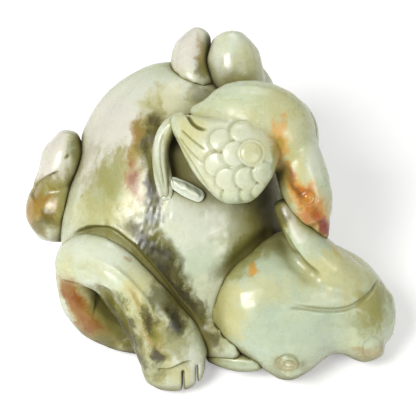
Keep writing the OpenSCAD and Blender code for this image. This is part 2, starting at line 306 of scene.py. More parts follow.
# nephrite jade, ground and polished: pale green that light sinks a little way into, with a waxy shine,
# clouded, and stained brown along old cracks. Sizes are millimetres
stone = {
    "celadon": "#CDD8B6", "milk": "#E2E7D3", "sage": "#C2D0B6", "beige": "#E2DDCF", "grey": "#62685A",
    "straw": "#D2CE92", "olive": "#9A9647", "moss": "#5F5C22", "umber": "#3B2E0E", "ink": "#1D1907",
    "honey": "#DDA234", "golden": "#A8822E", "russet": "#8C450C", "rust": "#86280C", "coral": "#C0601A",
    # tones of painted shade: olive for the sides of hollows and for carved lines, near black for the bottom
    # of deep hollows
    "hollowSide": "#7A7426", "hollowFloor": "#302808",
    "halo": {"russet": "golden", "rust": "coral", "umber": "olive", "coral": "honey", "ink": "moss"},
    "warpSize": 6, "warpReach": 7,  # all the patterns wander by up to half the reach
    "cloudSize": 14, "cloudEdge": (0.35, 0.65), "patchesPerCloud": 1.7, "patchEdge": (0.48, 0.72),
    "veinSize": 9, "veinHalf": 0.06, "veinShare": 0.14,
    "raggedScale": (0.7, 0.25, 0.25), "raggedReach": 0.45,  # stain edges fray 1.4 mm across and 4 mm along
    # a ring is where a stain starts and where it is full, as shares of its oval
    "stainRing": (1.4, 0.45), "haloRing": (2.0, 0.8), "haloShare": 0.85,
    "stainLevel": 0.85, "stainThrough": 40,  # stains start near the face and run right through
    "fleckSpacing": 5, "fleckEdge": (0.15, 0.05), "fleckShare": 0.6, "fleckRarity": 0.72,
    "hollowReach": 13, "sideRange": (1.0, 0.5), "floorRange": (0.62, 0.25),
    "cutShadeDepth": 0.6,  # a carved line this deep gets about two thirds of the painted shade
    # the painted shade in hollows and carved lines, as tones and shares
    "hollow": {"side": "hollowSide", "floor": "hollowFloor",
               "sideShare": 0.85, "floorShare": 0.92, "cutShadeShare": 0.45},
    "wipeSize": 2, "gloss": (0.2, 0.4), "dullRange": (0.75, 0.4), "dull": 0.5,
    # polishing marks are under 0.1 mm wide, too fine to show, so they are drawn about six times as coarse
    "markSize": 0.625, "markHeight": 0.06, "markStrength": 0.25,
    "ior": 1.61, "sinkShare": 0.2, "sinkDepth": 0.7, "sinkColour": (1.0, 0.9, 0.5),
}


def jadeMaterial(name, part):
    # Body and clouds are tones of the part's stone, the clouds with their share. Each stain is a tone, its
    # place as shares of its forms' width and height, its half-width, half-height, turn and strength, and
    # later stains lie over earlier ones
    made = bpy.data.materials.new(name)
    made.use_nodes = True
    tree = made.node_tree
    tree.nodes.clear()
    place = addNode(tree, "ShaderNodeTexCoord")
    plane = addNode(tree, "ShaderNodeMapping", inputs={
        "Vector": place.outputs["Object"], "Rotation": (-leanBack, 0, 0),
        "Scale": (1000, 1000, 1000)}).outputs[0]
    warp = addNode(tree, "ShaderNodeTexNoise", inputs={
        "Vector": plane, "Scale": 1 / stone["warpSize"], "Detail": 5, "Roughness": 0.62}).outputs["Color"]
    warp = addNode(tree, "ShaderNodeVectorMath", {"operation": "SUBTRACT"}, {
        0: warp, 1: (0.5, 0.5, 0.5)}).outputs[0]
    warp = addNode(tree, "ShaderNodeVectorMath", {"operation": "SCALE"}, {
        0: warp, "Scale": stone["warpReach"]}).outputs[0]
    warped = addNode(tree, "ShaderNodeVectorMath", {"operation": "ADD"}, {0: plane, 1: warp}).outputs[0]

    # the body drifts between two tones, with patches of a third and thin olive veins
    cloud = addNode(tree, "ShaderNodeTexNoise", inputs={
        "Vector": warped, "Scale": 1 / stone["cloudSize"], "Detail": 4, "Roughness": 0.55}).outputs["Fac"]
    cloud = addNode(tree, "ShaderNodeMapRange", inputs={
        "Value": cloud, 1: stone["cloudEdge"][0], 2: stone["cloudEdge"][1]}).outputs[0]
    colour = addNode(tree, "ShaderNodeMix", {"data_type": "RGBA"}, {
        0: cloud, 6: linear(stone[part["body"][0]]), 7: linear(stone[part["body"][1]])}).outputs[2]
    patch = addNode(tree, "ShaderNodeTexNoise", inputs={
        "Vector": warped, "Scale": stone["patchesPerCloud"] / stone["cloudSize"], "Detail": 5,
        "Roughness": 0.6, "Distortion": 0.6}).outputs["Fac"]
    patch = addNode(tree, "ShaderNodeMapRange", inputs={
        "Value": patch, 1: stone["patchEdge"][0], 2: stone["patchEdge"][1],
        4: part["clouds"][1]}).outputs[0]
    colour = addNode(tree, "ShaderNodeMix", {"data_type": "RGBA"}, {
        0: patch, 6: colour, 7: linear(stone[part["clouds"][0]])}).outputs[2]
    vein = addNode(tree, "ShaderNodeTexNoise", inputs={
        "Vector": warped, "Scale": 1 / stone["veinSize"], "Detail": 3, "Roughness": 0.5,
        "Distortion": 1.2}).outputs["Fac"]
    vein = addNode(tree, "ShaderNodeMath", {"operation": "SUBTRACT"}, {0: vein, 1: 0.5}).outputs[0]
    vein = addNode(tree, "ShaderNodeMath", {"operation": "ABSOLUTE"}, {0: vein}).outputs[0]
    vein = addNode(tree, "ShaderNodeMapRange", inputs={
        "Value": vein, 1: stone["veinHalf"], 2: 0.0, 3: 0.0, 4: stone["veinShare"]}).outputs[0]
    colour = addNode(tree, "ShaderNodeMix", {"data_type": "RGBA"}, {
        0: vein, 6: colour, 7: linear(stone["olive"])}).outputs[2]

    # stains have ragged edges drawn out up the plane, and the strong ones a halo
    drawn = addNode(tree, "ShaderNodeMapping", inputs={
        "Vector": warped, "Scale": stone["raggedScale"]}).outputs[0]
    ragged = addNode(tree, "ShaderNodeTexNoise", inputs={
        "Vector": drawn, "Scale": 1, "Detail": 4, "Roughness": 0.55}).outputs["Fac"]
    ragged = addNode(tree, "ShaderNodeMapRange", inputs={
        "Value": ragged, 1: 0.25, 2: 0.75, 3: -stone["raggedReach"], 4: stone["raggedReach"]}).outputs[0]
    for forms, stains in part["stains"].items():
        low, top = formBox(forms)
        for tone, right, up, wide, high, turn, strength in stains:
            at = low + np.array((right, up, stone["stainLevel"])) * (top - low)
            oval = addNode(tree, "ShaderNodeMapping", {"vector_type": "TEXTURE"}, {
                "Vector": warped, "Location": at, "Rotation": (0, 0, math.radians(turn)),
                "Scale": (wide, high, stone["stainThrough"])}).outputs[0]
            oval = addNode(tree, "ShaderNodeVectorMath", {"operation": "LENGTH"}, {0: oval}).outputs["Value"]
            oval = addNode(tree, "ShaderNodeMath", {"operation": "ADD"}, {0: oval, 1: ragged}).outputs[0]
            rings = [(tone, stone["stainRing"], strength)]
            if tone in stone["halo"]:
                rings.insert(0, (stone["halo"][tone], stone["haloRing"], strength * stone["haloShare"]))
            for ringTone, (outer, inner), share in rings:
                reach = addNode(tree, "ShaderNodeMapRange", {"interpolation_type": "SMOOTHSTEP"}, {
                    "Value": oval, 1: outer, 2: inner, 3: 0.0, 4: share}).outputs[0]
                colour = addNode(tree, "ShaderNodeMix", {"data_type": "RGBA"}, {
                    0: reach, 6: colour, 7: linear(stone[ringTone])}).outputs[2]

    # small brown flecks, one in every few cells
    fleck = addNode(tree, "ShaderNodeTexVoronoi", inputs={
        "Vector": warped, "Scale": 1 / stone["fleckSpacing"]})
    near = addNode(tree, "ShaderNodeMapRange", inputs={
        "Value": fleck.outputs["Distance"], 1: stone["fleckEdge"][0], 2: stone["fleckEdge"][1],
        3: 0.0, 4: stone["fleckShare"]}).outputs[0]
    chosen = addNode(tree, "ShaderNodeSeparateColor", inputs={0: fleck.outputs["Color"]}).outputs[0]
    chosen = addNode(tree, "ShaderNodeMath", {"operation": "GREATER_THAN"}, {
        0: chosen, 1: stone["fleckRarity"]}).outputs[0]
    near = addNode(tree, "ShaderNodeMath", {"operation": "MULTIPLY"}, {0: near, 1: chosen}).outputs[0]
    colour = addNode(tree, "ShaderNodeMix", {"data_type": "RGBA"}, {
        0: near, 6: colour, 7: linear(stone["golden"])}).outputs[2]

    # painted shade: the hollows are darkened at their sides and darker still at the bottom, and so are the
    # carved lines
    hollow = part.get("hollow", stone["hollow"])
    openness = addNode(tree, "ShaderNodeAmbientOcclusion", {"samples": 8}, {
        "Distance": stone["hollowReach"] / 1000}).outputs["AO"]
    for tone, (start, full), share in ((hollow["side"], stone["sideRange"], hollow["sideShare"]),
                                       (hollow["floor"], stone["floorRange"], hollow["floorShare"])):
        reach = addNode(tree, "ShaderNodeMapRange", {"interpolation_type": "SMOOTHSTEP"}, {
            "Value": openness, 1: start, 2: full, 3: 0.0, 4: share}).outputs[0]
        colour = addNode(tree, "ShaderNodeMix", {"data_type": "RGBA"}, {
            0: reach, 6: colour, 7: linear(stone[tone])}).outputs[2]
    cutShade = addNode(tree, "ShaderNodeAttribute", {"attribute_name": "cutShade"}).outputs["Fac"]
    cutShade = addNode(tree, "ShaderNodeMath", {"operation": "MULTIPLY"}, {
        0: cutShade, 1: hollow["cutShadeShare"]}).outputs[0]
    colour = addNode(tree, "ShaderNodeMix", {"data_type": "RGBA"}, {
        0: cutShade, 6: colour, 7: linear(stone[hollow["side"]])}).outputs[2]

    # the polish is uneven where hands have worn it, and the wheel leaves the hollows duller
    wipe = addNode(tree, "ShaderNodeTexNoise", inputs={
        "Vector": plane, "Scale": 1 / stone["wipeSize"], "Detail": 4}).outputs["Fac"]
    gloss = addNode(tree, "ShaderNodeMapRange", inputs={
        "Value": wipe, 1: 0.3, 2: 0.7, 3: stone["gloss"][0], 4: stone["gloss"][1]}).outputs[0]
    dull = addNode(tree, "ShaderNodeMapRange", inputs={
        "Value": openness, 1: stone["dullRange"][0], 2: stone["dullRange"][1],
        3: 0.0, 4: stone["dull"]}).outputs[0]
    gloss = addNode(tree, "ShaderNodeMath", {"operation": "ADD"}, {0: gloss, 1: dull}).outputs[0]
    marks = addNode(tree, "ShaderNodeTexNoise", inputs={
        "Vector": plane, "Scale": 1 / stone["markSize"], "Detail": 3}).outputs["Fac"]
    relief = addNode(tree, "ShaderNodeBump", inputs={
        "Strength": stone["markStrength"], "Distance": stone["markHeight"] / 1000,
        "Height": marks}).outputs[0]
    shader = addNode(tree, "ShaderNodeBsdfPrincipled", inputs={
        "Base Color": colour, "Roughness": gloss, "IOR": stone["ior"], "Normal": relief,
        "Subsurface Weight": stone["sinkShare"], "Subsurface Radius": stone["sinkColour"],
        "Subsurface Scale": stone["sinkDepth"] / 1000})
    addNode(tree, "ShaderNodeOutputMaterial", inputs={"Surface": shader.outputs[0]})
    return made


# camera: square on to the carving plane, from above and in front
camera = {"lens": 134.8, "distance": 0.335, "aim": (0, -0.0013, 0.02494)}

lens = bpy.data.cameras.new("camera")
lens.lens = camera["lens"]
lens.sensor_width = 36
lens.clip_start = 0.01
cameraObject = bpy.data.objects.new("camera", lens)
bpy.context.scene.collection.objects.link(cameraObject)
aim = Vector(camera["aim"])
cameraObject.location = aim + planeOut * camera["distance"]
cameraObject.rotation_euler = (-planeOut).to_track_quat("-Z", "Y").to_euler()
bpy.context.scene.camera = cameraObject
print("camera set")

# trunk: the belly from rump to chest, with the tail a low band along the rump and the neck under the head.
# Its nephrite is milky, clouded olive on the flank, with a dark vein that runs down beside the foreleg
trunkPiece = {
    "nodes": ["trunk", "neck", "tail"], "slot": "jade_celadon",
    "grain": 0.34, "evenRounds": 70, "handSeed": 1,
    "body": ("celadon", "milk"), "clouds": ("straw", 0.4),
    "tailMelt": {"reach": 1.1, "share": 0.8, "rounds": 47},
    "channel": [(0.06, 0.41), (0.11, 0.43), (0.15, 0.44), (0.22, 0.44), (0.26, 0.43), (0.33, 0.39),
                (0.37, 0.36), (0.46, 0.28), (0.54, 0.2), (0.65, 0.1)],
    "channelStep": {"reach": 1.9, "depth": 1.3, "fade": (0.1, 0.25), "sharp": 0.3},
    "channelLip": {"width": 0.5, "depth": -0.2, "fade": (0.2, 0.3)},
    "wingHollow": {"at": (0.54, 0.62), "radii": (2.6, 4.4), "depth": 2.2, "turn": 35},
    "bellyFold": {"line": [(0.41, 0.76), (0.41, 0.7), (0.43, 0.64), (0.43, 0.56)],
                  "width": 0.8, "depth": 0.25, "fade": (0.3, 0.3)},
    "headCrease": {"line": [(0.68, 0.25), (0.725, 0.281), (0.782, 0.315), (0.839, 0.353), (0.9, 0.39),
                            (0.958, 0.42)], "width": 1.8, "depth": 1.1, "fade": (0.4, 0.1)},
    "chipped": {"at": (0.43, 0.45), "radii": (3.4, 6), "depth": 0.12, "turn": -15},
    "chipSize": 1.6, "chipStretch": (1, 0.35), "chipPatchSize": 5, "chipSeeds": (3, 8),
    "stains": {("trunk",): [
        ("beige", 0.30, 0.80, 11, 9, 20, 0.9), ("beige", 0.14, 0.66, 6, 8, 0, 0.7),
        ("milk", 0.42, 0.88, 8, 5, 0, 0.6), ("olive", 0.27, 0.60, 5.5, 6, -20, 0.75),
        ("straw", 0.24, 0.49, 8, 4, 0, 0.7), ("russet", 0.36, 0.58, 1.5, 4, 10, 1.0),
        ("golden", 0.395, 0.70, 2.4, 5, 0, 0.8), ("russet", 0.385, 0.73, 1.2, 3, 0, 0.7),
        ("umber", 0.42, 0.69, 2.0, 8, -4, 1.0), ("umber", 0.43, 0.57, 1.8, 6, -4, 1.0),
        ("grey", 0.41, 0.45, 2.8, 4.4, 0, 0.95), ("umber", 0.44, 0.34, 3, 6, 40, 0.9),
        # the umber and ink at 0.92 and the moss and olive on the next line are painted shade along the crease
        # where the head meets the trunk
        ("umber", 0.92, 0.5, 3.5, 5, 0, 0.9), ("ink", 0.92, 0.42, 5, 1.8, 35, 1.0),
        ("moss", 0.8, 0.35, 7, 2.2, 38, 0.8), ("olive", 0.78, 0.44, 6, 4, 30, 0.5),
        ("moss", 0.49, 0.37, 1.8, 5, 35, 0.75), ("milk", 0.63, 0.47, 7, 6, 0, 0.7),
        ("sage", 0.62, 0.33, 6, 4, 0, 0.5), ("moss", 0.64, 0.87, 5, 2, -30, 0.75),
        # the grey at 0.6, 0.16 and the umber at 0.64, 0.08 are painted shade in the gap between the paw and
        # the head
        ("grey", 0.6, 0.16, 5, 3, -50, 0.85), ("umber", 0.64, 0.08, 4, 3, -20, 0.8),
        ("umber", 0.25, 0.14, 6, 7, 20, 1.0), ("straw", 0.5, 0.85, 6, 4, 0, 0.5),
        ("olive", 0.33, 0.41, 7, 2.4, -10, 0.7), ("olive", 0.2, 0.56, 4, 8, 0, 0.45),
        ("ink", 0.45, 0.335, 2.1, 7.6, 40, 1.0), ("ink", 0.52, 0.235, 2.2, 8, 40, 1.0),
        ("ink", 0.42, 0.58, 0.9, 4, -4, 0.8),
    ]},
}

trunkPiece["material"] = jadeMaterial("polishedNephriteBelly", trunkPiece)
piece = roughOut("stoneTrunk", trunkPiece)
low, high = formBox(["tail"])
offMiddle = np.abs((planeSpots(piece) - (low + high)[:2] / 2) / (high - low)[:2]).max(1)
onTail = eased(1 - offMiddle * trunkPiece["tailMelt"]["reach"]) * trunkPiece["tailMelt"]["share"]
melt(piece, onTail, trunkPiece["tailMelt"]["rounds"])
handWorked(piece, trunkPiece["handSeed"])
spots = planeSpots(piece)
depth = stepDepth(spots, ["trunk"], trunkPiece["channel"], **trunkPiece["channelStep"])
depth += grooveDepth(spots, ["trunk"], trunkPiece["channel"], **trunkPiece["channelLip"])
depth += bowlDepth(spots, ["trunk"], **trunkPiece["wingHollow"])
depth += grooveDepth(spots, ["trunk"], **trunkPiece["bellyFold"])
depth += grooveDepth(spots, ["trunk"], **trunkPiece["headCrease"])
chips = roughness(spots * trunkPiece["chipStretch"], trunkPiece["chipSize"], trunkPiece["chipSeeds"][0])
chips *= roughness(spots, trunkPiece["chipPatchSize"], trunkPiece["chipSeeds"][1])
depth += bowlDepth(spots, ["trunk"], **trunkPiece["chipped"]) * chips
carve(piece, depth)
stand(piece, trunkPiece)

# head: laid on its side, with the mouth a fine double line and the raised edge of the jaw. Its nephrite is
# cool green along the cheek and golden at the muzzle and crown
headPiece = {
    "nodes": ["head", "lower_jaw", "muzzle_pad", "near_eye"], "slot": "jade_celadon",
    "grain": 0.22, "evenRounds": 50, "handSeed": 2,
    "body": ("celadon", "sage"), "clouds": ("straw", 0.5),
    "mouth": [(0.39, 0.41), (0.44, 0.42), (0.52, 0.41), (0.6, 0.4), (0.68, 0.4), (0.73, 0.41), (0.79, 0.44),
              (0.83, 0.47), (0.87, 0.51), (0.9, 0.56)],
    "upperLine": {"shift": (0, 0.24), "width": 0.24, "depth": 0.42, "fade": (0.25, 0.1)},
    "lowerLine": {"shift": (0, -0.36), "width": 0.24, "depth": 0.36, "fade": (0.1, 0.1)},
    "jawEdge": [(0.375, 0.83), (0.4, 0.78), (0.426, 0.73), (0.457, 0.69), (0.488, 0.651), (0.538, 0.61),
                (0.593, 0.575)],
    "jawStep": {"reach": 3.2, "depth": 1.4, "fade": (0.2, 0.2), "sharp": 0.5},
    "jawMelt": {"within": 3.2, "over": 2, "share": 0.8, "rounds": 30},
    "eyeRing": {"at": (0.41, 0.11), "radii": (2.4, 1.6), "width": 0.28, "depth": 0.3},
    "pupilRing": {"at": (0.41, 0.11), "radii": (1.32, 0.88), "width": 0.2, "depth": 0.16},
    "noseRing": {"at": (0.87, 0.18), "radii": (2.2, 2.6), "width": 0.3, "depth": 0.2},
    "stains": {("head", "lower_jaw", "muzzle_pad", "near_eye"): [
        ("straw", 0.04, 0.38, 6, 8, 10, 0.95), ("straw", 0.26, 0.5, 6, 3, 15, 0.55),
        ("straw", 0.56, 0.62, 6, 3.4, 25, 0.6), ("olive", 0.13, 0.62, 7, 2.2, 35, 0.7),
        ("honey", 0.22, 0.61, 1.3, 1.2, 0, 0.85), ("honey", 0.67, 0.72, 0.9, 1.3, 0, 0.75),
        ("straw", 0.1, 0.14, 6, 2, -35, 0.7), ("olive", 0.46, 0.92, 3.5, 4.5, 20, 0.7),
        ("olive", 0.86, 0.42, 4.4, 6, -30, 0.85), ("golden", 0.86, 0.16, 3, 2.4, 20, 0.55),
        ("golden", 0.47, 0.95, 2, 3, 25, 0.7), ("straw", 0.72, 0.62, 6, 7, 0, 0.7),
        ("golden", 0.37, 0.95, 2.4, 4, 25, 0.8), ("sage", 0.45, 0.28, 8, 4, 0, 0.6),
        ("sage", 0.62, 0.3, 5, 3, 0, 0.5), ("olive", 0.3, 0.75, 5, 2.5, 30, 0.5),
        # the grey at 0.33, 0.95, and the moss and umber on the next line, are painted shade in the crease
        # along the top of the head
        ("golden", 0.4, 0.1, 3, 1.6, 0, 0.4), ("grey", 0.33, 0.95, 2, 3, 30, 0.5),
        ("moss", 0.29, 0.8, 6, 1.3, 38, 0.85), ("umber", 0.37, 0.9, 2, 1.6, 30, 0.6),
        ("beige", 0.44, 0.86, 1, 5, 28, 0.6),
    ]},
}

headPiece["material"] = jadeMaterial("polishedNephriteHead", headPiece)
piece = roughOut("beastHead", headPiece)
handWorked(piece, headPiece["handSeed"])
nodes = headPiece["nodes"]
spots = planeSpots(piece)
depth = grooveDepth(spots, nodes, headPiece["mouth"], **headPiece["upperLine"])
depth += grooveDepth(spots, nodes, headPiece["mouth"], **headPiece["lowerLine"])
for ring in ("eyeRing", "pupilRing", "noseRing"):
    depth += ringDepth(spots, nodes, **headPiece[ring])
cut(piece, stepDepth(spots, nodes, headPiece["jawEdge"], **headPiece["jawStep"]) * facing(piece))
jawMelt = headPiece["jawMelt"]
away, share, side = awayFrom(lineOn(nodes, headPiece["jawEdge"]), spots)
melt(piece, eased((jawMelt["within"] - away) / jawMelt["over"]) * jawMelt["share"], jawMelt["rounds"])
carve(piece, depth)
stand(piece, headPiece)

# near ear: folded under the crown, of the head's cool green with an olive edge
earPiece = {"nodes": ["near_ear"], "slot": "jade_celadon", "grain": 0.2, "evenRounds": 10,
            "body": ("celadon", "sage"), "clouds": ("straw", 0.5),
            "stains": {("near_ear",): [("olive", 0.3, 0.75, 5, 2, 0, 0.5)]}}

earPiece["material"] = jadeMaterial("polishedNephriteEar", earPiece)
piece = roughOut("beastEar", earPiece)
stand(piece, earPiece)

# near foreleg: the forearm bends out of the upper arm over a deep pocket and ends in three toes. Its nephrite
# is pale along the top, red-brown on the upper arm and dark above the paw, and the pocket is painted dark as
# shade
forelegPiece = {
    "nodes": ["near_forearm", "near_toes", "near_upper_arm"], "slot": "jade_celadon",
    "grain": 0.2, "evenRounds": 50, "handSeed": 3,
    "body": ("celadon", "milk"), "clouds": ("straw", 0.5),
    "elbow": {"at": (0.08, 0.75), "radii": (4.5, 4.5)}, "elbowMelt": {"reach": 2, "rounds": 120},
    "ridge": {"line": [(0.22, 0.87), (0.32, 0.83), (0.42, 0.78), (0.48, 0.73), (0.54, 0.67), (0.61, 0.59),
                       (0.66, 0.5), (0.7, 0.4)], "width": 0.65, "depth": -0.6, "fade": (0.3, 0.4)},
    "toeCrease": [(0.68, 0.15), (0.76, 0.15), (0.85, 0.19), (0.93, 0.21)],
    "creaseLine": {"width": 0.28, "depth": 0.45, "fade": (0.05, 0.3)},
    "creaseStep": {"reach": 1.4, "depth": 0.3, "fade": (0.05, 0.3)},
    "pocket": {"line": [(0.22, 0.68), (0.3, 0.675), (0.37, 0.64), (0.43, 0.57), (0.467, 0.467), (0.5, 0.345),
                        (0.525, 0.27)], "reach": 4.5, "depth": 2, "fade": (0.3, 0.1), "sharp": 1},
    "stains": {("near_forearm", "near_toes"): [
        ("milk", 0.28, 0.9, 7, 3, 0, 0.6), ("straw", 0.1, 0.72, 2.5, 5, 0, 0.6),
        ("straw", 0.53, 0.6, 3, 4, 40, 0.8), ("golden", 0.55, 0.58, 1.2, 2.4, 40, 0.6),
        ("straw", 0.6, 0.72, 3.5, 4, 40, 0.6), ("moss", 0.74, 0.6, 3, 4, 20, 0.8),
        ("golden", 0.66, 0.36, 2.4, 5, 20, 0.8), ("umber", 0.64, 0.46, 1.2, 3, 15, 0.9),
        ("umber", 0.67, 0.24, 1.1, 2.6, 5, 0.9), ("olive", 0.78, 0.36, 4, 6, 20, 0.7),
        ("umber", 0.7, 0.12, 1.3, 1, 0, 0.6), ("straw", 0.82, 0.12, 4, 2, 0, 0.7),
        ("golden", 0.2, 0.5, 3, 7, 33, 0.7), ("russet", 0.17, 0.55, 2.2, 5, 32, 1.0),
        ("russet", 0.28, 0.36, 2.4, 5, 37, 1.0), ("umber", 0.33, 0.28, 1.5, 2.6, 38, 0.9),
        # the grey at 0.36, 0.56 and the two umbers on the next line are painted shade in the pocket under the
        # forearm
        ("russet", 0.42, 0.15, 1.6, 2.8, 45, 0.7), ("grey", 0.36, 0.56, 3, 2.6, 30, 0.9),
        ("umber", 0.43, 0.46, 2.4, 5, 35, 1.0), ("umber", 0.5, 0.28, 2.2, 6, 30, 0.9),
        ("straw", 0.12, 0.26, 2, 6, 30, 0.5), ("ink", 0.79, 0.5, 1.4, 3.4, 10, 0.9),
        # the ink at 0.42, 0.45 is painted shade at the bottom of the pocket
        ("ink", 0.42, 0.45, 1.8, 5, 35, 0.9), ("umber", 0.36, 0.24, 1, 2.4, 35, 0.7),
    ]},
}

forelegPiece["material"] = jadeMaterial("polishedNephriteForeleg", forelegPiece)
piece = roughOut("beastForeleg", forelegPiece)
handWorked(piece, forelegPiece["handSeed"])
nodes = ["near_forearm", "near_toes"]
spots = planeSpots(piece)
onElbow = bowlDepth(spots, nodes, **forelegPiece["elbow"])
melt(piece, eased(onElbow * forelegPiece["elbowMelt"]["reach"]), forelegPiece["elbowMelt"]["rounds"])
depth = grooveDepth(spots, nodes, **forelegPiece["ridge"])
depth += grooveDepth(spots, nodes, forelegPiece["toeCrease"], **forelegPiece["creaseLine"])
depth += stepDepth(spots, nodes, forelegPiece["toeCrease"], **forelegPiece["creaseStep"])
depth += stepDepth(spots, nodes, **forelegPiece["pocket"])
carve(piece, depth)
stand(piece, forelegPiece)

# far foreleg: folded behind the head, plain pale stone with an olive cloud
farForelegPiece = {"nodes": ["far_upper_arm", "far_forearm", "far_toes"], "slot": "jade_celadon",
                   "grain": 0.25, "evenRounds": 30,
                   "body": ("celadon", "milk"), "clouds": ("straw", 0.5),
                   "stains": {("far_upper_arm", "far_forearm", "far_toes"): [
                       ("olive", 0.5, 0.5, 5, 5, 0, 0.5)]}}

farForelegPiece["material"] = jadeMaterial("polishedNephriteFarForeleg", farForelegPiece)
piece = roughOut("beastFarForeleg", farForelegPiece)
stand(piece, farForelegPiece)

# near hind leg: the hock and the foot, folded up beside the trunk. Its nephrite is chalky on the hock and
# golden brown on the foot
nearHindPiece = {
    "nodes": ["near_hind_hock", "near_hind_foot"], "slot": "jade_olive",
    "grain": 0.2, "evenRounds": 50, "handSeed": 4,
    "body": ("beige", "celadon"), "clouds": ("straw", 0.5),
    "edge": [(0.02, 0.46), (0.19, 0.53), (0.46, 0.6), (0.66, 0.64)],
    "edgeMelt": {"within": 4.8, "over": 4, "rounds": 60},
    "edgeStep": {"reach": 3, "depth": 0.9, "fade": (0.05, 0.2)},
    "stains": {("near_hind_hock", "near_hind_foot"): [
        ("beige", 0.55, 0.85, 3, 4, 0, 0.9), ("beige", 0.38, 0.66, 4, 3, -20, 0.9),
        ("moss", 0.9, 0.8, 1.2, 4, 20, 0.7), ("umber", 0.79, 0.76, 0.6, 0.6, 0, 0.8),
        ("olive", 0.6, 0.35, 5, 6, 0, 0.85), ("golden", 0.25, 0.3, 5, 6, 0, 0.95),
        ("umber", 0.42, 0.2, 2, 2.4, 0, 0.5), ("moss", 0.3, 0.12, 3, 2, 0, 0.6),
        ("olive", 0.4, 0.5, 4, 1.6, 20, 0.5),
    ]},
}

nearHindPiece["material"] = jadeMaterial("polishedNephriteNearHindLeg", nearHindPiece)
piece = roughOut("beastNearHindLeg", nearHindPiece)
handWorked(piece, nearHindPiece["handSeed"])
nodes = nearHindPiece["nodes"]
spots = planeSpots(piece)
edgeMelt = nearHindPiece["edgeMelt"]
away, share, side = awayFrom(lineOn(nodes, nearHindPiece["edge"]), spots)
melt(piece, eased((edgeMelt["within"] - away) / edgeMelt["over"]), edgeMelt["rounds"])
carve(piece, stepDepth(spots, nodes, nearHindPiece["edge"], **nearHindPiece["edgeStep"]))
stand(piece, nearHindPiece)

# far hind leg: the thigh and the round hock, clear green with an olive smear
farHindPiece = {
    "nodes": ["far_hind_thigh", "far_hind_hock"], "slot": "jade_celadon",
    "grain": 0.2, "evenRounds": 50, "handSeed": 5,
    "body": ("celadon", "milk"), "clouds": ("straw", 0.6),
    "stains": {("far_hind_thigh", "far_hind_hock"): [
        ("olive", 0.45, 0.45, 3, 2.6, 30, 0.7), ("moss", 0.3, 0.5, 1.6, 3, 0, 0.5),
        ("straw", 0.7, 0.7, 5, 4, 0, 0.5),
    ]},
}

farHindPiece["material"] = jadeMaterial("polishedNephriteFarHindLeg", farHindPiece)
piece = roughOut("beastFarHindLeg", farHindPiece)
handWorked(piece, farHindPiece["handSeed"])
stand(piece, farHindPiece)

# far hind foot: beside the round hock, chalky with a brown edge
farFootPiece = {
    "nodes": ["far_hind_foot"], "slot": "jade_pale", "grain": 0.2, "evenRounds": 50, "handSeed": 6,
    "body": ("beige", "milk"), "clouds": ("straw", 0.5),
    "stains": {("far_hind_foot",): [
        ("beige", 0.4, 0.7, 3, 5, 0, 0.9), ("golden", 0.7, 0.5, 1.2, 4, 0, 0.7),
        ("moss", 0.7, 0.3, 1.6, 2.4, 0, 0.7),
    ]},
}

farFootPiece["material"] = jadeMaterial("polishedNephriteFarHindFoot", farFootPiece)
piece = roughOut("beastFarHindFoot", farFootPiece)
handWorked(piece, farFootPiece["handSeed"])
stand(piece, farFootPiece)

